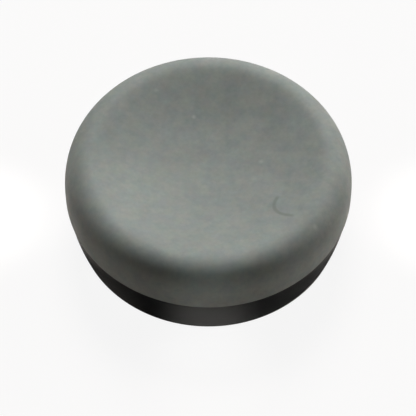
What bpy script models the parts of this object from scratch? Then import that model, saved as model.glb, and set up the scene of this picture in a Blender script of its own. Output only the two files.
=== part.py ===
"""Thumbstick cap for the slide pad of a handheld game console.

Two moulded pieces. The thumb grip is a soft grey moulding with a dished top and
a rounded rim. The stick base is a black plastic moulding: its plug and ledge
carry the grip, its skirt is the dark band that shows below the grip, and the
square socket under it pushes onto the post of the stick.

Metres, +Z up. The origin is the centre of the foot ring that the cap stands on.
"""

import math

import bmesh
import bpy
from mathutils import Matrix, Vector

# Thumb grip
GRIP_DIAMETER = 0.0170  # at its widest
GRIP_HEIGHT = 0.00284  # from its lower edge to the crest of the rim
GRIP_WIDEST_HEIGHT = 0.0006  # above the lower edge
GRIP_DRAW_IN = 0.00003  # the lower edge's radius is this much less than the widest
GRIP_EDGE_ROUND = 0.00010
SHOULDER_WIDTH = 0.00147  # from the crest of the rim out to the widest radius
DISH_DEPTH = 0.00122  # below the crest
RIM_ROLL = 20  # the higher, the tighter the dish rolls over into the crest
GRIP_SIDE_WALL = 0.00085  # beside the plug of the base
GRIP_TOP_WALL = 0.0009  # between the middle of the dish and the plug

# Stick base
BASE_HEIGHT = 0.00304  # from the foot ring to the ledge
LEDGE_INSET = 0.00008  # the ledge's radius is this much less than the grip's lower edge
SKIRT_TAPER = 0.00051  # the foot's radius is this much less than the ledge's
SKIRT_BULGE = 0.00009
SKIRT_WALL = 0.0011  # at the foot
FOOT_ROUND = 0.00015
DECK_THICKNESS = 0.0009
PLUG_CHAMFER = 0.00015

# Socket under the base
SOCKET_WIDTH = 0.0038
SOCKET_FLOOR_THICKNESS = 0.00086
SOCKET_LEAD_IN = 0.00030
BOSS_RIM = 0.00018  # left outside the corners of the lead-in
BOSS_FOOT_HEIGHT = 0.00035  # above the foot ring
BOSS_SLOT_WIDTH = 0.0008
BOSS_SLOT_DEPTH = 0.0018
RIB_COUNT = 4
RIB_THICKNESS = 0.0008
RIB_FOOT_HEIGHT = 0.0008  # above the foot ring

# Between the two pieces, on every face
FIT_GAP = 0.00005

# Fineness of the turned surfaces
TURN_STEPS = 72
DISH_STEPS = 9
ROLL_STEPS = 5
ROLL_SHARE = 0.14  # of the crest's radius, where the dish's points lie closer together
SHOULDER_STEPS = 9
SIDE_STEPS = 4
ROUND_STEPS = 3
SKIRT_STEPS = 6

MERGE_DISTANCE = 0.00001
CUT_MARGIN = 0.0005
SHARP_ANGLE = math.radians(30)

# Radii that follow from the sizes above
GRIP_RADIUS = GRIP_DIAMETER / 2
CREST_RADIUS = GRIP_RADIUS - SHOULDER_WIDTH
EDGE_RADIUS = GRIP_RADIUS - GRIP_DRAW_IN
RECESS_RADIUS = EDGE_RADIUS - GRIP_SIDE_WALL
PLUG_RADIUS = RECESS_RADIUS - FIT_GAP
LEDGE_RADIUS = EDGE_RADIUS - LEDGE_INSET
FOOT_RADIUS = LEDGE_RADIUS - SKIRT_TAPER
HOLLOW_RADIUS = FOOT_RADIUS - SKIRT_WALL
SOCKET_CORNER_RADIUS = SOCKET_WIDTH / math.sqrt(2)
BOSS_RADIUS = SOCKET_CORNER_RADIUS + SOCKET_LEAD_IN * math.sqrt(2) + BOSS_RIM

# Heights above the foot ring that follow from the sizes above
LEDGE_LEVEL = BASE_HEIGHT
GRIP_LEVEL = LEDGE_LEVEL + FIT_GAP
WIDEST_LEVEL = GRIP_LEVEL + GRIP_WIDEST_HEIGHT
CREST_LEVEL = GRIP_LEVEL + GRIP_HEIGHT
DISH_LEVEL = CREST_LEVEL - DISH_DEPTH
RECESS_LEVEL = DISH_LEVEL - GRIP_TOP_WALL
PLUG_LEVEL = RECESS_LEVEL - FIT_GAP
DECK_LEVEL = PLUG_LEVEL - DECK_THICKNESS
SOCKET_FLOOR_LEVEL = PLUG_LEVEL - SOCKET_FLOOR_THICKNESS


def clear_scene():
    for old in list(bpy.data.objects):
        bpy.data.objects.remove(old, do_unlink=True)


def new_collection(name, hidden=False):
    collection = bpy.data.collections.new(name)
    bpy.context.scene.collection.children.link(collection)
    collection.hide_render = hidden
    return collection


def new_material(name, colour, roughness, metallic=0.0):
    material = bpy.data.materials.new(name)
    material.use_nodes = True
    shader = material.node_tree.nodes["Principled BSDF"]
    shader.inputs["Base Color"].default_value = (*colour, 1.0)
    shader.inputs["Roughness"].default_value = roughness
    shader.inputs["Metallic"].default_value = metallic
    return material


def arc(centre, radius, start_deg, end_deg, steps):
    """Points (r, z) of an arc, both ends included. An angle of 90 degrees is +Z."""
    points = []
    for step in range(steps + 1):
        angle = math.radians(start_deg + (end_deg - start_deg) * step / steps)
        points.append(
            (centre[0] + radius * math.cos(angle), centre[1] + radius * math.sin(angle))
        )
    return points


def dish_height(radius):
    """Height of the dish: a paraboloid that rolls over into the level crest."""
    x = radius / CREST_RADIUS
    rise = x**2 / 2 - x ** (RIM_ROLL + 2) / (RIM_ROLL + 2)
    full_rise = 1 / 2 - 1 / (RIM_ROLL + 2)
    return DISH_LEVEL + DISH_DEPTH * rise / full_rise


def grip_profile():
    """Half section of the grip, from the middle of the dish round to the middle of the recess."""
    roll_start = (1 - ROLL_SHARE) * CREST_RADIUS
    dish = [roll_start * step / DISH_STEPS for step in range(DISH_STEPS)]
    roll = [
        roll_start + (CREST_RADIUS - roll_start) * step / ROLL_STEPS
        for step in range(ROLL_STEPS)
    ]
    points = [(radius, dish_height(radius)) for radius in dish + roll]

    shoulder_width = GRIP_RADIUS - CREST_RADIUS
    shoulder_height = CREST_LEVEL - WIDEST_LEVEL
    for step in range(SHOULDER_STEPS + 1):
        angle = math.radians(90 - 90 * step / SHOULDER_STEPS)
        points.append(
            (
                CREST_RADIUS + shoulder_width * math.cos(angle),
                WIDEST_LEVEL + shoulder_height * math.sin(angle),
            )
        )

    side_end = GRIP_LEVEL + GRIP_EDGE_ROUND
    for step in range(1, SIDE_STEPS):
        share = step / SIDE_STEPS
        level = WIDEST_LEVEL + (side_end - WIDEST_LEVEL) * share
        points.append((GRIP_RADIUS - GRIP_DRAW_IN * share**2, level))
    edge_centre = (EDGE_RADIUS - GRIP_EDGE_ROUND, side_end)
    points += arc(edge_centre, GRIP_EDGE_ROUND, 0, -90, ROUND_STEPS)

    points += [
        (RECESS_RADIUS, GRIP_LEVEL),
        (RECESS_RADIUS, RECESS_LEVEL - PLUG_CHAMFER),
        (RECESS_RADIUS - PLUG_CHAMFER, RECESS_LEVEL),
        (0.0, RECESS_LEVEL),
    ]
    return points


def skirt_radius(level):
    """Radius of the skirt's slightly bulged outer face at a height above the foot ring."""
    share = level / LEDGE_LEVEL
    straight = FOOT_RADIUS + (LEDGE_RADIUS - FOOT_RADIUS) * share
    return straight + SKIRT_BULGE * 4 * share * (1 - share)


def base_profile():
    """Half section of the base with a solid boss, from the middle of the plug's top round to the boss."""
    points = [
        (0.0, PLUG_LEVEL),
        (PLUG_RADIUS - PLUG_CHAMFER, PLUG_LEVEL),
        (PLUG_RADIUS, PLUG_LEVEL - PLUG_CHAMFER),
        (PLUG_RADIUS, LEDGE_LEVEL),
    ]
    for step in range(SKIRT_STEPS):
        level = LEDGE_LEVEL + (FOOT_ROUND - LEDGE_LEVEL) * step / SKIRT_STEPS
        points.append((skirt_radius(level), level))
    foot_centre = (skirt_radius(FOOT_ROUND) - FOOT_ROUND, FOOT_ROUND)
    points += arc(foot_centre, FOOT_ROUND, 0, -90, ROUND_STEPS)

    points += [
        (HOLLOW_RADIUS, 0.0),
        (HOLLOW_RADIUS, DECK_LEVEL),
        (BOSS_RADIUS, DECK_LEVEL),
        (BOSS_RADIUS, BOSS_FOOT_HEIGHT),
        (0.0, BOSS_FOOT_HEIGHT),
    ]
    return points


def turned(name, profile, collection):
    """An object whose half section is spun round Z with a Screw modifier."""
    mesh = bpy.data.meshes.new(name)
    corners = [(radius, 0.0, level) for radius, level in profile]
    edges = [(i, i + 1) for i in range(len(corners) - 1)]
    mesh.from_pydata(corners, edges, [])
    obj = bpy.data.objects.new(name, mesh)
    collection.objects.link(obj)
    screw = obj.modifiers.new("turn", "SCREW")
    screw.axis = "Z"
    screw.angle = math.tau
    screw.steps = TURN_STEPS
    screw.render_steps = TURN_STEPS
    screw.use_merge_vertices = True
    screw.merge_threshold = MERGE_DISTANCE
    return obj


def box(name, size, centre, collection, turn=0.0):
    """A box of this size, its centre placed and then turned about Z."""
    mesh = bpy.data.meshes.new(name)
    shape = bmesh.new()
    bmesh.ops.create_cube(shape, size=1.0)
    bmesh.ops.scale(shape, vec=Vector(size), verts=shape.verts)
    bmesh.ops.translate(shape, vec=Vector(centre), verts=shape.verts)
    bmesh.ops.rotate(shape, cent=(0, 0, 0), matrix=Matrix.Rotation(turn, 3, "Z"), verts=shape.verts)
    shape.to_mesh(mesh)
    shape.free()
    obj = bpy.data.objects.new(name, mesh)
    collection.objects.link(obj)
    return obj


def lead_in_cutter(collection):
    """A square funnel that chamfers the mouth of the socket."""
    mouth = SOCKET_WIDTH / 2 + SOCKET_LEAD_IN + CUT_MARGIN
    tip = SOCKET_WIDTH / 2
    height = SOCKET_LEAD_IN + CUT_MARGIN
    mesh = bpy.data.meshes.new("lead_in_cutter")
    shape = bmesh.new()
    bmesh.ops.create_cone(
        shape,
        cap_ends=True,
        segments=4,
        radius1=mouth * math.sqrt(2),
        radius2=tip * math.sqrt(2),
        depth=height,
    )
    bmesh.ops.rotate(
        shape, cent=(0, 0, 0), matrix=Matrix.Rotation(math.pi / 4, 3, "Z"), verts=shape.verts
    )
    level = BOSS_FOOT_HEIGHT - CUT_MARGIN + height / 2
    bmesh.ops.translate(shape, vec=(0, 0, level), verts=shape.verts)
    shape.to_mesh(mesh)
    shape.free()
    obj = bpy.data.objects.new("lead_in_cutter", mesh)
    collection.objects.link(obj)
    return obj


def socket_cutter(collection):
    """The square hole that takes the post."""
    bottom = BOSS_FOOT_HEIGHT - CUT_MARGIN
    size = (SOCKET_WIDTH, SOCKET_WIDTH, SOCKET_FLOOR_LEVEL - bottom)
    centre = (0, 0, (SOCKET_FLOOR_LEVEL + bottom) / 2)
    return box("socket_cutter", size, centre, collection)


def slot_cutter(collection):
    """One long box that splits the boss on both sides, so that it can grip the post."""
    bottom = BOSS_FOOT_HEIGHT - CUT_MARGIN
    top = BOSS_FOOT_HEIGHT + BOSS_SLOT_DEPTH
    size = (2 * (BOSS_RADIUS + CUT_MARGIN), BOSS_SLOT_WIDTH, top - bottom)
    return box("slot_cutter", size, (0, 0, (top + bottom) / 2), collection)


def rib_blanks(collection):
    """Radial ribs from inside the boss to inside the skirt, sunk into both and into the deck."""
    inner = (SOCKET_CORNER_RADIUS + BOSS_RADIUS) / 2
    outer = HOLLOW_RADIUS + SKIRT_WALL / 2
    top = DECK_LEVEL + DECK_THICKNESS / 2
    size = (outer - inner, RIB_THICKNESS, top - RIB_FOOT_HEIGHT)
    centre = ((outer + inner) / 2, 0, (top + RIB_FOOT_HEIGHT) / 2)
    first_turn = math.pi / RIB_COUNT
    return [
        box(f"rib_{i + 1}", size, centre, collection, first_turn + math.tau * i / RIB_COUNT)
        for i in range(RIB_COUNT)
    ]


def apply_boolean(obj, other, operation):
    modifier = obj.modifiers.new(f"{operation.lower()}_{other.name}", "BOOLEAN")
    modifier.operation = operation
    modifier.object = other
    other.hide_render = True
    other.display_type = "WIRE"


def finish(obj, material):
    """Turns the modifiers into the object's own mesh, shades it and gives it its material."""
    graph = bpy.context.evaluated_depsgraph_get()
    mesh = bpy.data.meshes.new_from_object(obj.evaluated_get(graph))
    mesh.name = obj.name
    mesh.shade_smooth()
    mesh.set_sharp_from_angle(angle=SHARP_ANGLE)
    mesh.materials.clear()
    mesh.materials.append(material)
    obj.modifiers.clear()
    obj.data = mesh


def make_thumb_grip(collection, material):
    grip = turned("thumb_grip", grip_profile(), collection)
    finish(grip, material)
    return grip


def make_stick_base(collection, helpers, material):
    base = turned("stick_base", base_profile(), collection)
    for rib in rib_blanks(helpers):
        apply_boolean(base, rib, "UNION")
    for cutter in (socket_cutter(helpers), lead_in_cutter(helpers), slot_cutter(helpers)):
        apply_boolean(base, cutter, "DIFFERENCE")
    finish(base, material)
    return base


def main():
    clear_scene()
    parts = new_collection("thumbstick_cap")
    helpers = new_collection("cutters_and_blanks", hidden=True)
    grey_elastomer = new_material("grey_elastomer", (0.254, 0.275, 0.250), 0.60)
    black_plastic = new_material("black_plastic", (0.012, 0.012, 0.013), 0.35)
    make_thumb_grip(parts, grey_elastomer)
    make_stick_base(parts, helpers, black_plastic)


main()
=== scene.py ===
"""Looks of the thumbstick cap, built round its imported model.

Two finished pieces stand for the two solids: a soft grey thumb grip, turned by
Geometry Nodes from its sizes, and a black base with its ribs and socket. The
rest is the studio: a pale floor, soft lamps and the camera.

Metres, +Z up. The origin is the centre of the foot ring that the cap stands on.
"""

import math

import bmesh
import bpy
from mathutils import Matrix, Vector


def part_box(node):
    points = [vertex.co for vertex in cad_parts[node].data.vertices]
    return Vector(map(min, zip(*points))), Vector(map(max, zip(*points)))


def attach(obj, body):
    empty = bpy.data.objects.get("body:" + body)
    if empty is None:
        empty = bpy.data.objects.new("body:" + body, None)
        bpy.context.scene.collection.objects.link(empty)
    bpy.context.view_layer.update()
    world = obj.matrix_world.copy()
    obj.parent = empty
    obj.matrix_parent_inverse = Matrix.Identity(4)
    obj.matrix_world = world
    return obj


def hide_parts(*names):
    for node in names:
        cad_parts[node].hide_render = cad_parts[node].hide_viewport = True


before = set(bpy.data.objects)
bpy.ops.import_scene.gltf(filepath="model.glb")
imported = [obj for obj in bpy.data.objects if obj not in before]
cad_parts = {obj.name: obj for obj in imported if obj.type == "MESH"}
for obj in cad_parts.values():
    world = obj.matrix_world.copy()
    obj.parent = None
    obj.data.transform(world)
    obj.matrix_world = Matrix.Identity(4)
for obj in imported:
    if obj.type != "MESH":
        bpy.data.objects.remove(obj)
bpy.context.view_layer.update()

MM = 0.001

# Sizes read from the frame
GRIP_LOW, GRIP_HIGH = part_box("thumb_grip")
_, BASE_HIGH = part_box("stick_base")
GRIP_RADIUS = GRIP_HIGH.x
GRIP_LEVEL = GRIP_LOW.z
CREST_LEVEL = GRIP_HIGH.z
PLUG_LEVEL = BASE_HIGH.z

# Sizes inside those boxes. The fuller shoulder, the straight side, the crisp lower edge and the top
# of the skirt follow the photographed outline, and stay within 0.1 mm of the solids.
FIT_GAP = 0.05 * MM
GRIP_WIDEST_HEIGHT = 0.6 * MM
GRIP_EDGE_ROUND = 0.03 * MM
SHOULDER_WIDTH = 1.47 * MM
SHOULDER_FULLNESS = 2.15  # 2 is a plain ellipse
DISH_DEPTH = 1.22 * MM
RIM_ROLL = 20.0  # the higher, the narrower the band where the dish turns level
GRIP_SIDE_WALL = 0.88 * MM
PLUG_CHAMFER = 0.15 * MM
LEDGE_INSET = 0.08 * MM
SKIRT_TAPER = 0.54 * MM
SKIRT_BULGE = 0.09 * MM
SKIRT_WALL = 1.1 * MM
LEDGE_ROUND = 0.04 * MM
LEDGE_ROUND_END = 10  # degrees, where it meets the tapered skirt
FOOT_ROUND = 0.15 * MM
FOOT_ROUND_START = -5  # degrees, where the skirt meets it
INNER_ROUND = 0.12 * MM
DECK_THICKNESS = 0.9 * MM
SOCKET_WIDTH = 3.8 * MM
SOCKET_FLOOR_THICKNESS = 0.86 * MM
SOCKET_LEAD_IN = 0.30 * MM
SOCKET_CORNER_ROUND = 0.12 * MM
BOSS_RIM = 0.18 * MM
BOSS_ROUND = 0.08 * MM
BOSS_FOOT_HEIGHT = 0.35 * MM
BOSS_SLOT_WIDTH = 0.8 * MM
BOSS_SLOT_DEPTH = 1.8 * MM
RIB_COUNT = 4
RIB_THICKNESS = 0.8 * MM
RIB_FOOT_HEIGHT = 0.8 * MM
RIB_ROUND = 0.15 * MM

# Radii and levels that follow
RECESS_RADIUS = GRIP_RADIUS - GRIP_SIDE_WALL
PLUG_RADIUS = RECESS_RADIUS - FIT_GAP
LEDGE_RADIUS = GRIP_RADIUS - LEDGE_INSET
FOOT_RADIUS = LEDGE_RADIUS - SKIRT_TAPER
HOLLOW_RADIUS = FOOT_RADIUS - SKIRT_WALL
SOCKET_CORNER_RADIUS = SOCKET_WIDTH / math.sqrt(2)
BOSS_RADIUS = SOCKET_CORNER_RADIUS + SOCKET_LEAD_IN * math.sqrt(2) + BOSS_RIM
LEDGE_LEVEL = GRIP_LEVEL - FIT_GAP
RECESS_LEVEL = PLUG_LEVEL + FIT_GAP
DECK_LEVEL = PLUG_LEVEL - DECK_THICKNESS
SOCKET_FLOOR_LEVEL = PLUG_LEVEL - SOCKET_FLOOR_THICKNESS

# Fineness of the finished meshes
TURN_STEPS = 288
DISH_POINTS = 130
SHOULDER_POINTS = 40
EDGE_POINTS = 7
SKIRT_STEPS = 24
ROUND_STEPS = 6
SHARP_ANGLE = math.radians(30)
CUT_MARGIN = 0.5 * MM
MERGE_DISTANCE = 0.0005 * MM

# Finish of the grey grip
GREY_ROSE = "#8F908A"
GREY_GREEN = "#8C9289"
BLUE_CAST = "#F1F8FF"
CAST_PATCH = 0.8 * MM
CAST_LIMITS = (0.32, 0.68)  # values of the noise where a cast sets in and where it is full
CLOUD_SIZE = 1.6 * MM
CLOUD_DEPTH = 0.26
FINE_CLOUD_SIZE = 0.3 * MM
FINE_CLOUD_DEPTH = 0.09
GREY_ROUGHNESS = (0.78, 0.66)  # in the darkest and in the palest clouds
GREY_GRAIN = 0.13 * MM
GREY_GRAIN_STRENGTH = 0.12

# Finish of the black base
BLACK_DEEP = "#151B1C"
BLACK_PALE = "#1B2122"
FLOW_SIZE = 1.2 * MM
BLACK_ROUGHNESS = (0.18, 0.26)  # where the plastic is deepest and where it is palest
BLACK_GRAIN = 0.1 * MM
BLACK_GRAIN_STRENGTH = 0.1
GRAIN_DEPTH = 0.01 * MM

# Marks on the grip, seen from above
HAIR_COLOUR = "#6E736D"
HAIR_COVER = 0.55
HAIR_CENTRE = (4.88 * MM, -2.85 * MM, 0.0)
HAIR_RADIUS = 1.02 * MM
HAIR_SQUARENESS = 2.5  # 2 is a circle
HAIR_TURN = math.radians(26.5)
HAIR_WIDTH = 0.15 * MM
HAIR_CORE = HAIR_WIDTH / 4
HAIR_MIDDLE = math.radians(234)
HAIR_HALF_SPAN = math.radians(62)
HAIR_FADE = math.radians(6)
DUST_COLOUR = "#A6A9A2"
SPECKS = [  # place, radius where it is half faded, and how much it covers
    (-0.87 * MM, 3.71 * MM, 0.10 * MM, 0.6),
    (-3.13 * MM, 5.26 * MM, 0.11 * MM, 0.38),
    (6.13 * MM, -4.70 * MM, 0.12 * MM, 0.55),
    (3.11 * MM, 0.49 * MM, 0.12 * MM, 0.45),
]
# A painted highlight: the patch of the dish that is painted paler, in place of a soft highlight from the
# light
PAINTED_HIGHLIGHT_CENTRE = (-4.2 * MM, -2.1 * MM, 0.0)
PAINTED_HIGHLIGHT_CORE = 0.5 * MM
PAINTED_HIGHLIGHT_RADIUS = 4.6 * MM
PAINTED_HIGHLIGHT_UNEVENNESS = 6 * MM
PAINTED_HIGHLIGHT_LIGHTER = 0.11

# Studio
FLOOR_COLOUR = "#DED6D1"
FLOOR_GLOW_SHARE = 0.9  # the rest is the floor as it is lit, with the cap's shadow
FLOOR_HALF_SIZE = 1.5
FLOOR_LEVEL = -0.01 * MM
WHITE = (1, 1, 1, 1)

# Camera, as the photograph was taken
CAMERA_ELEVATION = math.radians(54.5)
CAMERA_DISTANCE = 127.05 * MM
CAMERA_LENS = 184.53
CAMERA_CLIP_START = CAMERA_DISTANCE / 100
AIM_DROP = 1.26 * MM
AIM_SIDE = -0.02 * MM

# Lamps. An azimuth of 0 degrees is on the camera's side, and 90 is to its right.
LAMP_DISTANCE = 0.4
LAMP_SIZE = 0.16
LAMPS = [  # name, azimuth, elevation, level
    ("high_back", 180, 48, 0.96),
    ("low_back_right", 150, 12, 0.17),
    ("low_right", 101, 12, 0.27),
    ("high_left", 258, 44, 0.025),
]
POOL_ELEVATION = 78
POOL_LAMP_RADIUS = 1 * MM
# The glossy skirt mirrors the floor round it, so these pools of light make its bright and dark places.
POOLS = [  # name, azimuth, distance from the axis, width, level, colour where it isn't white
    ("front_pool", 0, 11 * MM, 9 * MM, 0.36),
    ("front_foot_pool", 0, 8.3 * MM, 2.8 * MM, 0.12, (0.84, 1, 1)),
    ("front_left_foot_pool", -50, 8.3 * MM, 2.8 * MM, 0.05),
    ("left_foot_pool", -90, 10 * MM, 4 * MM, 0.22),
    ("left_pool", -90, 14 * MM, 10 * MM, 1.5),
    ("right_pool", 90, 14 * MM, 10 * MM, 1.45),
]

# Names of nodes that are used often, and the sockets of a Mix node that carry colours
MATH = "ShaderNodeMath"
VECTOR_MATH = "ShaderNodeVectorMath"
MAP_RANGE = "ShaderNodeMapRange"
COMBINE = "ShaderNodeCombineXYZ"
SEPARATE = "ShaderNodeSeparateXYZ"
FIRST_COLOUR, SECOND_COLOUR, MIXED_COLOUR = 6, 7, 2


def linear(hex_colour):
    """A colour written as sRGB hex, as linear values with alpha."""
    channels = [int(hex_colour[i : i + 2], 16) / 255 for i in (1, 3, 5)]
    turned = [c / 12.92 if c <= 0.04045 else ((c + 0.055) / 1.055) ** 2.4 for c in channels]
    return (*turned, 1.0)


def add_node(tree, kind, inputs=(), **settings):
    """Adds a node with its settings.

    Its inputs are listed in order, or given by name or number. Each one is a value, a socket, or a
    node whose first output feeds it.
    """
    node = tree.nodes.new(kind)
    for name, value in settings.items():
        setattr(node, name, value)
    given = inputs.items() if isinstance(inputs, dict) else enumerate(inputs)
    for key, value in given:
        if isinstance(value, bpy.types.Node):
            value = value.outputs[0]
        if isinstance(value, bpy.types.NodeSocket):
            tree.links.new(value, node.inputs[key])
        else:
            node.inputs[key].default_value = value
    return node


def start_material(name):
    """A new material, its tree and its shader."""
    material = bpy.data.materials.new(name)
    material.use_nodes = True
    tree = material.node_tree
    return material, tree, tree.nodes["Principled BSDF"]


def hair_mark(tree, flat_place):
    """Mask of the one faint curved mark in the dish, part of a rounded square seen from above."""
    offset = add_node(tree, VECTOR_MATH, (flat_place, HAIR_CENTRE), operation="SUBTRACT")
    turned = add_node(
        tree, "ShaderNodeVectorRotate", {"Vector": offset, "Angle": HAIR_TURN}, rotation_type="Z_AXIS"
    )
    parts = add_node(tree, SEPARATE, (turned,)).outputs
    powers = []
    for axis in "XY":
        away = add_node(tree, MATH, (parts[axis],), operation="ABSOLUTE")
        share = add_node(tree, MATH, (away, HAIR_RADIUS), operation="DIVIDE")
        powers.append(add_node(tree, MATH, (share, HAIR_SQUARENESS), operation="POWER"))
    total = add_node(tree, MATH, powers, operation="ADD")
    reach = add_node(tree, MATH, (total, 1 / HAIR_SQUARENESS), operation="POWER")
    past_line = add_node(tree, MATH, (reach, 1.0), operation="SUBTRACT")
    off_share = add_node(tree, MATH, (past_line,), operation="ABSOLUTE")
    off_line = add_node(tree, MATH, (off_share, HAIR_RADIUS), operation="MULTIPLY")
    on_line = add_node(
        tree,
        MAP_RANGE,
        {"Value": off_line, "From Min": HAIR_WIDTH, "From Max": HAIR_CORE},
        interpolation_type="SMOOTHSTEP",
    )

    # The mark covers only a part of the way round, and fades out at both ends.
    direction = add_node(tree, VECTOR_MATH, (turned,), operation="NORMALIZE")
    middle = (math.cos(HAIR_MIDDLE), math.sin(HAIR_MIDDLE), 0)
    along = add_node(tree, VECTOR_MATH, (direction, middle), operation="DOT_PRODUCT").outputs["Value"]
    in_span = add_node(
        tree,
        MAP_RANGE,
        {
            "Value": along,
            "From Min": math.cos(HAIR_HALF_SPAN + HAIR_FADE),
            "From Max": math.cos(HAIR_HALF_SPAN - HAIR_FADE),
        },
        interpolation_type="SMOOTHSTEP",
    )
    return add_node(tree, MATH, (on_line, in_span), operation="MULTIPLY")


def moulded_skin(tree, shader, place, unevenness, roughness, grain_size, grain_strength):
    """The skin that a tool leaves: roughness between two values, as an unevenness goes, and a fine grain."""
    rough = add_node(tree, MAP_RANGE, {"Value": unevenness, "To Min": roughness[0], "To Max": roughness[1]})
    tree.links.new(rough.outputs[0], shader.inputs["Roughness"])
    grain = add_node(tree, "ShaderNodeTexNoise", {"Vector": place, "Scale": 1 / grain_size, "Detail": 2.0})
    bump = add_node(
        tree, "ShaderNodeBump", {"Height": grain, "Strength": grain_strength, "Distance": GRAIN_DEPTH}
    )
    tree.links.new(bump.outputs[0], shader.inputs["Normal"])


def grey_elastomer():
    """Soft-touch elastomer from a spark-eroded tool: even mid grey with faint clouds, silky, never glossy."""
    material, tree, shader = start_material("moulded_grey_elastomer")
    place = add_node(tree, "ShaderNodeTexCoord").outputs["Object"]
    flat_place = add_node(tree, VECTOR_MATH, (place, (1, 1, 0)), operation="MULTIPLY")

    # The pigment isn't quite even: it has a faint green, rose or blue cast in patches.
    cast = add_node(
        tree,
        "ShaderNodeTexNoise",
        {"Vector": place, "Scale": 1 / CAST_PATCH, "Detail": 3.0, "Roughness": 0.65},
    )
    cast_parts = add_node(tree, SEPARATE, (cast.outputs["Color"],)).outputs
    green_share, blue_share = (
        add_node(
            tree,
            MAP_RANGE,
            {"Value": cast_parts[axis], "From Min": CAST_LIMITS[0], "From Max": CAST_LIMITS[1]},
            interpolation_type="SMOOTHSTEP",
        )
        for axis in "XY"
    )
    rose_or_green = add_node(
        tree,
        "ShaderNodeMix",
        {"Factor": green_share, FIRST_COLOUR: linear(GREY_ROSE), SECOND_COLOUR: linear(GREY_GREEN)},
        data_type="RGBA",
    ).outputs[MIXED_COLOUR]
    pigment = add_node(
        tree,
        "ShaderNodeMix",
        {"Factor": blue_share, FIRST_COLOUR: rose_or_green, SECOND_COLOUR: linear(BLUE_CAST)},
        data_type="RGBA",
        blend_type="MULTIPLY",
    ).outputs[MIXED_COLOUR]

    # Paler and darker clouds, of half a millimetre to three, and finer ones in them.
    clouds = add_node(
        tree,
        "ShaderNodeTexNoise",
        {"Vector": place, "Scale": 1 / CLOUD_SIZE, "Detail": 4.0, "Roughness": 0.75},
        noise_dimensions="4D",
    )
    fine_clouds = add_node(
        tree, "ShaderNodeTexNoise", {"Vector": place, "Scale": 1 / FINE_CLOUD_SIZE, "Detail": 2.0}
    )
    broad_shade, fine_shade = (
        add_node(tree, MAP_RANGE, {"Value": noise, "To Min": 1 - depth, "To Max": 1 + depth})
        for noise, depth in ((clouds, CLOUD_DEPTH), (fine_clouds, FINE_CLOUD_DEPTH))
    )

    # Painted highlight: a patch on one side of the dish is painted a shade paler, with an uneven edge,
    # standing in for a soft highlight of the light.
    from_painted_highlight = add_node(
        tree, VECTOR_MATH, (flat_place, PAINTED_HIGHLIGHT_CENTRE), operation="DISTANCE"
    ).outputs["Value"]
    centred = add_node(tree, MATH, (clouds, 0.5), operation="SUBTRACT")
    uneven = add_node(tree, MATH, (centred, PAINTED_HIGHLIGHT_UNEVENNESS, from_painted_highlight), operation="MULTIPLY_ADD")
    painted_highlight = add_node(
        tree,
        MAP_RANGE,
        {"Value": uneven, "From Min": PAINTED_HIGHLIGHT_RADIUS, "From Max": PAINTED_HIGHLIGHT_CORE},
        interpolation_type="SMOOTHSTEP",
    )
    painted_highlight_shade = add_node(tree, MATH, (painted_highlight, PAINTED_HIGHLIGHT_LIGHTER, 1.0), operation="MULTIPLY_ADD")
    # The clouds' real tone, times the painted highlight
    cloud_shade = add_node(tree, MATH, (broad_shade, fine_shade), operation="MULTIPLY")
    shade = add_node(tree, MATH, (cloud_shade, painted_highlight_shade), operation="MULTIPLY")
    clouded_and_highlighted = add_node(tree, VECTOR_MATH, {0: pigment, "Scale": shade}, operation="SCALE")

    # Handling marks: a curved hairline, and a few specks of pale dust.
    hair_share = add_node(tree, MATH, (hair_mark(tree, flat_place), HAIR_COVER), operation="MULTIPLY")
    colour = add_node(
        tree,
        "ShaderNodeMix",
        {"Factor": hair_share, FIRST_COLOUR: clouded_and_highlighted, SECOND_COLOUR: linear(HAIR_COLOUR)},
        data_type="RGBA",
    ).outputs[MIXED_COLOUR]
    for x, y, radius, cover in SPECKS:
        away = add_node(tree, VECTOR_MATH, (flat_place, (x, y, 0)), operation="DISTANCE").outputs["Value"]
        inside = add_node(
            tree,
            MAP_RANGE,
            {"Value": away, "From Min": 2 * radius, "From Max": 0},
            interpolation_type="SMOOTHSTEP",
        )
        speck_share = add_node(tree, MATH, (inside, cover), operation="MULTIPLY")
        colour = add_node(
            tree,
            "ShaderNodeMix",
            {"Factor": speck_share, FIRST_COLOUR: colour, SECOND_COLOUR: linear(DUST_COLOUR)},
            data_type="RGBA",
        ).outputs[MIXED_COLOUR]
    tree.links.new(colour, shader.inputs["Base Color"])

    # The eroded grain is some 0.03 mm across, too fine to show, so it is drawn 0.13 mm across.
    moulded_skin(tree, shader, place, clouds, GREY_ROUGHNESS, GREY_GRAIN, GREY_GRAIN_STRENGTH)
    return material


def black_plastic():
    """Moulded black ABS: deep black with a satin skin, which turns grey where it mirrors the pale floor."""
    material, tree, shader = start_material("moulded_black_abs")
    place = add_node(tree, "ShaderNodeTexCoord").outputs["Object"]
    flow = add_node(tree, "ShaderNodeTexNoise", {"Vector": place, "Scale": 1 / FLOW_SIZE, "Detail": 3.0})
    colour = add_node(
        tree,
        "ShaderNodeMix",
        {"Factor": flow, FIRST_COLOUR: linear(BLACK_DEEP), SECOND_COLOUR: linear(BLACK_PALE)},
        data_type="RGBA",
    ).outputs[MIXED_COLOUR]
    tree.links.new(colour, shader.inputs["Base Color"])

    # The tool's polish leaves a grain of about 0.02 mm, drawn 0.1 mm across to show.
    moulded_skin(tree, shader, place, flow, BLACK_ROUGHNESS, BLACK_GRAIN, BLACK_GRAIN_STRENGTH)
    return material


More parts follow.
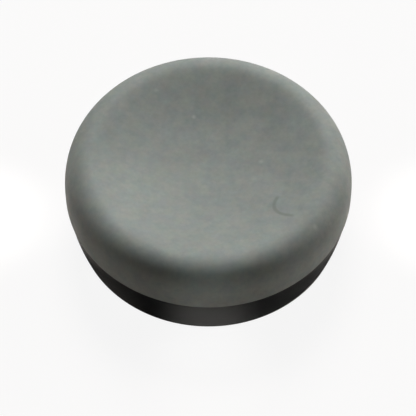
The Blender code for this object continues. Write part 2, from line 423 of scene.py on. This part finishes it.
def new_tree(name, inputs):
    """A Geometry Nodes tree with a geometry input, these named inputs, and a geometry output."""
    tree = bpy.data.node_groups.new(name, "GeometryNodeTree")
    tree.interface.new_socket("Geometry", in_out="INPUT", socket_type="NodeSocketGeometry")
    for label, kind in inputs:
        tree.interface.new_socket(label, in_out="INPUT", socket_type=kind)
    tree.interface.new_socket("Geometry", in_out="OUTPUT", socket_type="NodeSocketGeometry")
    source = tree.nodes.new("NodeGroupInput")
    target = tree.nodes.new("NodeGroupOutput")
    return tree, source.outputs, target.inputs[0]


def finish_tree(tree, geometry, material, target):
    """Ends a tree: everything is real, smooth and has its material."""
    real = add_node(tree, "GeometryNodeRealizeInstances", {"Geometry": geometry})
    smooth = add_node(tree, "GeometryNodeSetShadeSmooth", {"Geometry": real})
    painted = add_node(tree, "GeometryNodeSetMaterial", {"Geometry": smooth, "Material": material})
    tree.links.new(painted.outputs[0], target)


def turn_section(tree, section, steps):
    """Spins a section, a row of points with the radius in X and the height in Y, once round Z."""
    point_count = add_node(
        tree, "GeometryNodeAttributeDomainSize", {"Geometry": section}, component="MESH"
    ).outputs["Point Count"]
    columns = add_node(tree, MATH, (steps, 1.0), operation="ADD")
    grid = add_node(
        tree,
        "GeometryNodeMeshGrid",
        {"Size X": 1.0, "Size Y": 1.0, "Vertices X": columns, "Vertices Y": point_count},
    )

    # The grid's points run up one column after another, so an index gives its column and its row.
    index = add_node(tree, "GeometryNodeInputIndex")
    columns_done = add_node(tree, MATH, (index, point_count), operation="DIVIDE")
    column = add_node(tree, MATH, (columns_done,), operation="FLOOR")
    row = add_node(tree, MATH, (index, point_count), operation="MODULO")
    turn_share = add_node(tree, MATH, (column, steps), operation="DIVIDE")
    angle = add_node(tree, MATH, (turn_share, math.tau), operation="MULTIPLY")
    position = add_node(tree, "GeometryNodeInputPosition")
    sample = add_node(
        tree,
        "GeometryNodeSampleIndex",
        {"Geometry": section, "Value": position, "Index": row},
        data_type="FLOAT_VECTOR",
        domain="POINT",
    )
    corner = add_node(tree, SEPARATE, (sample,)).outputs
    upright = add_node(tree, COMBINE, {"X": corner["X"], "Z": corner["Y"]})
    spun = add_node(
        tree, "ShaderNodeVectorRotate", {"Vector": upright, "Angle": angle}, rotation_type="Z_AXIS"
    )
    placed = add_node(
        tree, "GeometryNodeSetPosition", {"Geometry": grid.outputs["Mesh"], "Position": spun}
    )
    closed = add_node(
        tree, "GeometryNodeMergeByDistance", {"Geometry": placed, "Distance": MERGE_DISTANCE}
    )
    return add_node(tree, "GeometryNodeFlipFaces", {"Mesh": closed})


def section_line(tree, start, end):
    """A straight stretch of a section, between two points that each have a radius and a level."""
    first, last = (add_node(tree, COMBINE, {"X": radius, "Y": level}) for radius, level in (start, end))
    return add_node(tree, "GeometryNodeCurvePrimitiveLine", {"Start": first, "End": last})


def grip_tree():
    """The thumb grip as a rule: its half section is drawn from its sizes and spun round Z."""
    tree, size, target = new_tree(
        "turned_thumb_grip",
        [
            ("Widest radius", "NodeSocketFloat"),
            ("Lower level", "NodeSocketFloat"),
            ("Crest level", "NodeSocketFloat"),
            ("Widest height", "NodeSocketFloat"),
            ("Shoulder width", "NodeSocketFloat"),
            ("Shoulder fullness", "NodeSocketFloat"),
            ("Edge round", "NodeSocketFloat"),
            ("Dish depth", "NodeSocketFloat"),
            ("Rim roll", "NodeSocketFloat"),
            ("Recess radius", "NodeSocketFloat"),
            ("Recess level", "NodeSocketFloat"),
            ("Recess chamfer", "NodeSocketFloat"),
            ("Dish points", "NodeSocketInt"),
            ("Shoulder points", "NodeSocketInt"),
            ("Steps around", "NodeSocketInt"),
            ("Material", "NodeSocketMaterial"),
        ],
    )
    widest_radius, lower_level = size["Widest radius"], size["Lower level"]
    crest_level, recess_level = size["Crest level"], size["Recess level"]
    edge_round, chamfer = size["Edge round"], size["Recess chamfer"]
    crest_radius = add_node(tree, MATH, (widest_radius, size["Shoulder width"]), operation="SUBTRACT")
    widest_level = add_node(tree, MATH, (lower_level, size["Widest height"]), operation="ADD")
    shoulder_height = add_node(tree, MATH, (crest_level, widest_level), operation="SUBTRACT")
    dish_level = add_node(tree, MATH, (crest_level, size["Dish depth"]), operation="SUBTRACT")
    edge_top = add_node(tree, MATH, (lower_level, edge_round), operation="ADD")
    edge_centre = add_node(tree, MATH, (widest_radius, edge_round), operation="SUBTRACT")
    wall_top = add_node(tree, MATH, (recess_level, chamfer), operation="SUBTRACT")
    roof_edge = add_node(tree, MATH, (size["Recess radius"], chamfer), operation="SUBTRACT")

    # The dish is a paraboloid that rolls over into the level crest: half the square of x, less a high
    # power of x that has the same slope at the rim, where x is 1.
    unit_line = add_node(tree, "GeometryNodeCurvePrimitiveLine", {"Start": (0, 0, 0), "End": (1, 0, 0)})
    dish_line = add_node(
        tree, "GeometryNodeResampleCurve", {"Curve": unit_line, "Count": size["Dish points"]}
    )
    position = add_node(tree, "GeometryNodeInputPosition")
    x, y, _ = add_node(tree, SEPARATE, (position,)).outputs
    power = add_node(tree, MATH, (size["Rim roll"], 2.0), operation="ADD")
    rolled_off = add_node(tree, MATH, (1.0, power), operation="DIVIDE")
    full_rise = add_node(tree, MATH, (0.5, rolled_off), operation="SUBTRACT")
    high_power = add_node(tree, MATH, (x, power), operation="POWER")
    roll = add_node(tree, MATH, (high_power, power), operation="DIVIDE")
    square = add_node(tree, MATH, (x, 2.0), operation="POWER")
    half_square = add_node(tree, MATH, (square, 0.5), operation="MULTIPLY")
    rise = add_node(tree, MATH, (half_square, roll), operation="SUBTRACT")
    rise_share = add_node(tree, MATH, (rise, full_rise), operation="DIVIDE")
    height = add_node(
        tree, MATH, (rise_share, size["Dish depth"], dish_level), operation="MULTIPLY_ADD"
    )
    radius = add_node(tree, MATH, (x, crest_radius), operation="MULTIPLY")
    on_dish = add_node(tree, COMBINE, {"X": radius, "Y": height})
    dish = add_node(tree, "GeometryNodeSetPosition", {"Geometry": dish_line, "Position": on_dish})

    # The shoulder is a quarter of an ellipse, made a little fuller.
    quarter = add_node(
        tree,
        "GeometryNodeCurveArc",
        {
            "Resolution": size["Shoulder points"],
            "Radius": 1.0,
            "Start Angle": math.pi / 2,
            "Sweep Angle": -math.pi / 2,
        },
    ).outputs["Curve"]
    exponent = add_node(tree, MATH, (2.0, size["Shoulder fullness"]), operation="DIVIDE")
    full_parts = []
    for part in (x, y):
        not_negative = add_node(tree, MATH, (part, 0.0), operation="MAXIMUM")
        full_parts.append(add_node(tree, MATH, (not_negative, exponent), operation="POWER"))
    full_place = add_node(tree, COMBINE, full_parts)
    fuller = add_node(tree, "GeometryNodeSetPosition", {"Geometry": quarter, "Position": full_place})
    shoulder_place = add_node(tree, COMBINE, (crest_radius, widest_level))
    shoulder_scale = add_node(tree, COMBINE, (size["Shoulder width"], shoulder_height, 1.0))
    shoulder = add_node(
        tree,
        "GeometryNodeTransform",
        {"Geometry": fuller, "Translation": shoulder_place, "Scale": shoulder_scale},
    )

    # The side goes straight down to a crisp lower edge.
    side = section_line(tree, (widest_radius, widest_level), (widest_radius, edge_top))
    edge_arc = add_node(
        tree,
        "GeometryNodeCurveArc",
        {
            "Resolution": EDGE_POINTS,
            "Radius": edge_round,
            "Start Angle": 0.0,
            "Sweep Angle": -math.pi / 2,
        },
    ).outputs["Curve"]
    edge_place = add_node(tree, COMBINE, (edge_centre, edge_top))
    edge = add_node(tree, "GeometryNodeTransform", {"Geometry": edge_arc, "Translation": edge_place})

    # The recess under it takes the plug of the base.
    wall = section_line(tree, (size["Recess radius"], lower_level), (size["Recess radius"], wall_top))
    roof = section_line(tree, (roof_edge, recess_level), (0.0, recess_level))

    # Joined points start with the curve that was linked last.
    section = add_node(tree, "GeometryNodeJoinGeometry")
    for curve in (roof, wall, edge, side, shoulder, dish):
        points = add_node(tree, "GeometryNodeCurveToPoints", {"Curve": curve}, mode="EVALUATED")
        tree.links.new(points.outputs["Points"], section.inputs[0])
    vertices = add_node(tree, "GeometryNodePointsToVertices", (section,))
    finish_tree(tree, turn_section(tree, vertices, size["Steps around"]), size["Material"], target)
    return tree


def arc(centre, radius, start_deg, end_deg):
    """Points (radius, height) of an arc, both ends included. An angle of 90 degrees is +Z."""
    points = []
    for step in range(ROUND_STEPS + 1):
        angle = math.radians(start_deg + (end_deg - start_deg) * step / ROUND_STEPS)
        points.append((centre[0] + radius * math.cos(angle), centre[1] + radius * math.sin(angle)))
    return points


def skirt_radius(level):
    """Radius of the skirt's outer face at a height above the foot ring. Its bulge is full half way up."""
    share = level / LEDGE_LEVEL
    straight = FOOT_RADIUS + (LEDGE_RADIUS - FOOT_RADIUS) * share
    return straight + SKIRT_BULGE * 4 * share * (1 - share)


def base_section():
    """Half section of the base with a solid boss, from the middle of the plug's top round to the boss."""
    points = [
        (0.0, PLUG_LEVEL),
        (PLUG_RADIUS - PLUG_CHAMFER, PLUG_LEVEL),
        (PLUG_RADIUS, PLUG_LEVEL - PLUG_CHAMFER),
        (PLUG_RADIUS, LEDGE_LEVEL),
    ]
    skirt_top = LEDGE_LEVEL - LEDGE_ROUND
    points += arc((LEDGE_RADIUS - LEDGE_ROUND, skirt_top), LEDGE_ROUND, 90, LEDGE_ROUND_END)
    for step in range(1, SKIRT_STEPS):
        level = skirt_top + (FOOT_ROUND - skirt_top) * step / SKIRT_STEPS
        points.append((skirt_radius(level), level))
    foot_centre = (skirt_radius(FOOT_ROUND) - FOOT_ROUND, FOOT_ROUND)
    points += arc(foot_centre, FOOT_ROUND, FOOT_ROUND_START, -90)
    points += arc((HOLLOW_RADIUS + INNER_ROUND, INNER_ROUND), INNER_ROUND, -90, -180)
    points += arc((HOLLOW_RADIUS - INNER_ROUND, DECK_LEVEL - INNER_ROUND), INNER_ROUND, 0, 90)
    points += arc((BOSS_RADIUS + INNER_ROUND, DECK_LEVEL - INNER_ROUND), INNER_ROUND, 90, 180)
    points += arc((BOSS_RADIUS - BOSS_ROUND, BOSS_FOOT_HEIGHT + BOSS_ROUND), BOSS_ROUND, 0, -90)
    points.append((0.0, BOSS_FOOT_HEIGHT))
    return points


def base_tree():
    """The base as a rule: its section is spun round Z, and radial ribs join the boss to the skirt."""
    tree, size, target = new_tree(
        "turned_base_with_ribs",
        [
            ("Steps around", "NodeSocketInt"),
            ("Rib count", "NodeSocketInt"),
            ("Rib thickness", "NodeSocketFloat"),
            ("Rib foot", "NodeSocketFloat"),
            ("Rib head", "NodeSocketFloat"),
            ("Rib inner radius", "NodeSocketFloat"),
            ("Rib outer radius", "NodeSocketFloat"),
            ("Rib round", "NodeSocketFloat"),
            ("Material", "NodeSocketMaterial"),
        ],
    )
    turned = turn_section(tree, size["Geometry"], size["Steps around"])

    # A rib is a bar with round edges. It is sunk into the boss, the skirt and the deck.
    rib_height = add_node(tree, MATH, (size["Rib head"], size["Rib foot"]), operation="SUBTRACT")
    both_levels = add_node(tree, MATH, (size["Rib head"], size["Rib foot"]), operation="ADD")
    rib_middle = add_node(tree, MATH, (both_levels, 0.5), operation="MULTIPLY")
    outline = add_node(
        tree,
        "GeometryNodeCurvePrimitiveQuadrilateral",
        {"Width": size["Rib thickness"], "Height": rib_height},
    )
    rounded = add_node(
        tree,
        "GeometryNodeFilletCurve",
        {"Curve": outline, "Radius": size["Rib round"], "Count": ROUND_STEPS},
        mode="POLY",
    )
    inner_end = add_node(tree, COMBINE, {"X": size["Rib inner radius"], "Z": rib_middle})
    outer_end = add_node(tree, COMBINE, {"X": size["Rib outer radius"], "Z": rib_middle})
    path = add_node(tree, "GeometryNodeCurvePrimitiveLine", {"Start": inner_end, "End": outer_end})
    rib = add_node(
        tree,
        "GeometryNodeCurveToMesh",
        {"Curve": path, "Profile Curve": rounded, "Fill Caps": True},
    )
    closed_rib = add_node(
        tree, "GeometryNodeMergeByDistance", {"Geometry": rib, "Distance": MERGE_DISTANCE}
    )

    # One point for each rib, all on the axis, each turned by its share of a full turn.
    places = add_node(
        tree, "GeometryNodeMeshLine", {"Count": size["Rib count"], "Offset": (0, 0, 0)}, mode="OFFSET"
    )
    index = add_node(tree, "GeometryNodeInputIndex")
    rib_number = add_node(tree, MATH, (index, 0.5), operation="ADD")
    turn_share = add_node(tree, MATH, (rib_number, size["Rib count"]), operation="DIVIDE")
    turn = add_node(tree, MATH, (turn_share, math.tau), operation="MULTIPLY")
    about_z = add_node(tree, COMBINE, {"Z": turn})
    ribs = add_node(
        tree,
        "GeometryNodeInstanceOnPoints",
        {"Points": places, "Instance": closed_rib, "Rotation": about_z},
    )
    real_ribs = add_node(tree, "GeometryNodeRealizeInstances", {"Geometry": ribs})
    joined = add_node(tree, "GeometryNodeMeshBoolean", operation="UNION", solver="EXACT")
    for part in (real_ribs, turned):
        tree.links.new(part.outputs[0], joined.inputs["Mesh 2"])
    finish_tree(tree, joined, size["Material"], target)
    return tree


def new_object(name, mesh):
    """An object with this mesh, in the scene."""
    obj = bpy.data.objects.new(name, mesh)
    bpy.context.scene.collection.objects.link(obj)
    return obj


def make_real(obj):
    """Turns the object's modifiers into a plain mesh of its own."""
    graph = bpy.context.evaluated_depsgraph_get()
    mesh = bpy.data.meshes.new_from_object(obj.evaluated_get(graph))
    mesh.name = obj.name
    mesh.set_sharp_from_angle(angle=SHARP_ANGLE)
    for slot in reversed(range(len(mesh.materials))):
        if mesh.materials[slot] is None:
            mesh.materials.pop(index=slot)
    obj.modifiers.clear()
    obj.data = mesh


def grown(name, start_mesh, tree, values):
    """An object whose mesh a Geometry Nodes tree makes from these values, given by the inputs' names."""
    obj = new_object(name, start_mesh)
    modifier = obj.modifiers.new("shape", "NODES")
    modifier.node_group = tree
    for item in tree.interface.items_tree:
        if item.item_type == "SOCKET" and item.in_out == "INPUT" and item.name in values:
            modifier[item.identifier] = values[item.name]
    return obj


def cutter(name, half_sizes, levels, corner_round=0.0):
    """A bar along Z through these levels, with its half sizes in X and Y at each, as a mesh object."""
    shape = bmesh.new()
    rings = []
    for (x, y), level in zip(half_sizes, levels):
        corners = [(x, y), (-x, y), (-x, -y), (x, -y)]
        rings.append([shape.verts.new((*corner, level)) for corner in corners])
    for low, high in zip(rings, rings[1:]):
        for i in range(4):
            shape.faces.new((low[i], low[(i + 1) % 4], high[(i + 1) % 4], high[i]))
    shape.faces.new(rings[0][::-1])
    shape.faces.new(rings[-1])
    if corner_round:
        upright = [e for e in shape.edges if abs(e.verts[0].co.z - e.verts[1].co.z) > corner_round]
        bmesh.ops.bevel(shape, geom=upright, offset=corner_round, segments=ROUND_STEPS, affect="EDGES")
    bmesh.ops.recalc_face_normals(shape, faces=shape.faces)
    mesh = bpy.data.meshes.new(name)
    shape.to_mesh(mesh)
    shape.free()
    return new_object(name, mesh)


def base_cutters():
    """What is cut from the base: the square socket with its flared mouth, and the slot through the boss."""
    mouth = BOSS_FOOT_HEIGHT - CUT_MARGIN
    half = SOCKET_WIDTH / 2
    flare = SOCKET_LEAD_IN + CUT_MARGIN
    socket = cutter(
        "socket_cutter",
        [(half + flare, half + flare), (half, half), (half, half)],
        [mouth, mouth + flare, SOCKET_FLOOR_LEVEL],
        SOCKET_CORNER_ROUND,
    )
    slot_half_size = (BOSS_RADIUS + CUT_MARGIN, BOSS_SLOT_WIDTH / 2)
    slot = cutter("slot_cutter", [slot_half_size] * 2, [mouth, BOSS_FOOT_HEIGHT + BOSS_SLOT_DEPTH])
    return [socket, slot]


def make_grip(material):
    """The soft grey grip, as one smooth turned skin."""
    grip = grown(
        "soft_thumb_grip",
        bpy.data.meshes.new("thumb_grip_start"),
        grip_tree(),
        {
            "Widest radius": GRIP_RADIUS,
            "Lower level": GRIP_LEVEL,
            "Crest level": CREST_LEVEL,
            "Widest height": GRIP_WIDEST_HEIGHT,
            "Shoulder width": SHOULDER_WIDTH,
            "Shoulder fullness": SHOULDER_FULLNESS,
            "Edge round": GRIP_EDGE_ROUND,
            "Dish depth": DISH_DEPTH,
            "Rim roll": RIM_ROLL,
            "Recess radius": RECESS_RADIUS,
            "Recess level": RECESS_LEVEL,
            "Recess chamfer": PLUG_CHAMFER,
            "Dish points": DISH_POINTS,
            "Shoulder points": SHOULDER_POINTS,
            "Steps around": TURN_STEPS,
            "Material": material,
        },
    )
    make_real(grip)
    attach(grip, "root")
    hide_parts("thumb_grip")


def make_base(material):
    """The black base, with its ribs, its socket and small rounds along its moulded edges."""
    section = bpy.data.meshes.new("stick_base_section")
    points = base_section()
    edges = [(i, i + 1) for i in range(len(points) - 1)]
    section.from_pydata([(radius, level, 0.0) for radius, level in points], edges, [])
    base = grown(
        "black_stick_base",
        section,
        base_tree(),
        {
            "Steps around": TURN_STEPS,
            "Rib count": RIB_COUNT,
            "Rib thickness": RIB_THICKNESS,
            "Rib foot": RIB_FOOT_HEIGHT,
            "Rib head": DECK_LEVEL + DECK_THICKNESS / 2,
            "Rib inner radius": (SOCKET_CORNER_RADIUS + BOSS_RADIUS) / 2,
            "Rib outer radius": HOLLOW_RADIUS + SKIRT_WALL / 2,
            "Rib round": RIB_ROUND,
            "Material": material,
        },
    )
    cutters = base_cutters()
    for cut in cutters:
        modifier = base.modifiers.new(f"cut_{cut.name}", "BOOLEAN")
        modifier.operation = "DIFFERENCE"
        modifier.object = cut
    make_real(base)
    for cut in cutters:
        bpy.data.objects.remove(cut)
    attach(base, "root")
    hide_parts("stick_base")


def floor_material():
    """Matt white paper. The camera sees it as plain white, with the cap's own soft shadow on it."""
    material, tree, shader = start_material("matt_white_paper")
    shader.inputs["Base Color"].default_value = linear(FLOOR_COLOUR)
    shader.inputs["Roughness"].default_value = 0.9
    shader.inputs["Specular IOR Level"].default_value = 0.2
    glow = add_node(tree, "ShaderNodeEmission", {"Color": WHITE, "Strength": 1.0})
    seen = add_node(tree, "ShaderNodeLightPath").outputs["Is Camera Ray"]
    share = add_node(tree, MATH, (seen, FLOOR_GLOW_SHARE), operation="MULTIPLY")
    mixed = add_node(tree, "ShaderNodeMixShader", (share, shader, glow))
    tree.links.new(mixed.outputs[0], tree.nodes["Material Output"].inputs["Surface"])
    return material


def make_floor():
    """A wide plain floor, just under the foot ring."""
    mesh = bpy.data.meshes.new("floor")
    shape = bmesh.new()
    bmesh.ops.create_grid(shape, x_segments=1, y_segments=1, size=FLOOR_HALF_SIZE)
    shape.to_mesh(mesh)
    shape.free()
    floor = new_object("floor", mesh)
    floor.location.z = FLOOR_LEVEL
    mesh.materials.append(floor_material())


def make_world():
    """Plain white surroundings that only the camera sees. All the light comes from the lamps."""
    world = bpy.data.worlds.new("studio")
    bpy.context.scene.world = world
    world.use_nodes = True
    tree = world.node_tree
    background = tree.nodes["Background"]
    background.inputs["Color"].default_value = WHITE
    seen = add_node(tree, "ShaderNodeLightPath").outputs["Is Camera Ray"]
    tree.links.new(seen, background.inputs["Strength"])


def lamp_at(name, light, azimuth, elevation, aim):
    """Puts a lamp at its distance from a point that it faces."""
    lamp = new_object(name, light)
    turn, lift = math.radians(azimuth), math.radians(elevation)
    flat = math.cos(lift)
    away = Vector((math.sin(turn) * flat, -math.cos(turn) * flat, math.sin(lift)))
    lamp.location = aim + away * LAMP_DISTANCE
    lamp.rotation_euler = away.to_track_quat("Z", "Y").to_euler()


def soft_lamp(name, azimuth, elevation, level):
    """A square soft lamp on the cap. At level 1, a white surface that faces it renders as white."""
    light = bpy.data.lights.new(name, "AREA")
    light.size = LAMP_SIZE
    light.energy = level * (math.pi * LAMP_DISTANCE) ** 2
    lamp_at(name, light, azimuth, elevation, Vector((0, 0, CREST_LEVEL)))


def floor_pool(name, azimuth, distance, width, level, colour=(1, 1, 1)):
    """A narrow soft spot from above, which lights a pool on the floor beside the cap."""
    light = bpy.data.lights.new(name, "SPOT")
    light.color = colour
    light.spot_size = 2 * math.atan(width / 2 / LAMP_DISTANCE)
    light.spot_blend = 1.0
    light.shadow_soft_size = POOL_LAMP_RADIUS
    light.energy = level * (2 * math.pi * LAMP_DISTANCE) ** 2
    turn = math.radians(azimuth)
    aim = Vector((math.sin(turn), -math.cos(turn), 0)) * distance
    lamp_at(name, light, azimuth, POOL_ELEVATION, aim)


def make_camera():
    """The camera, which looks down at the cap as the photograph does."""
    camera = bpy.data.cameras.new("camera")
    camera.lens = CAMERA_LENS
    camera.clip_start = CAMERA_CLIP_START
    obj = new_object("camera", camera)
    back = Vector((0, -math.cos(CAMERA_ELEVATION), math.sin(CAMERA_ELEVATION)))
    up = Vector((0, math.sin(CAMERA_ELEVATION), math.cos(CAMERA_ELEVATION)))
    centre = Vector((0, 0, GRIP_LEVEL))
    obj.location = centre + back * CAMERA_DISTANCE
    aim = centre - up * AIM_DROP + Vector((AIM_SIDE, 0, 0))
    obj.rotation_euler = (obj.location - aim).to_track_quat("Z", "Y").to_euler()
    bpy.context.scene.camera = obj


make_grip(grey_elastomer())
make_base(black_plastic())
make_floor()
make_world()
for lamp in LAMPS:
    soft_lamp(*lamp)
for pool in POOLS:
    floor_pool(*pool)
make_camera()

bpy.context.scene.view_settings.view_transform = "Standard"
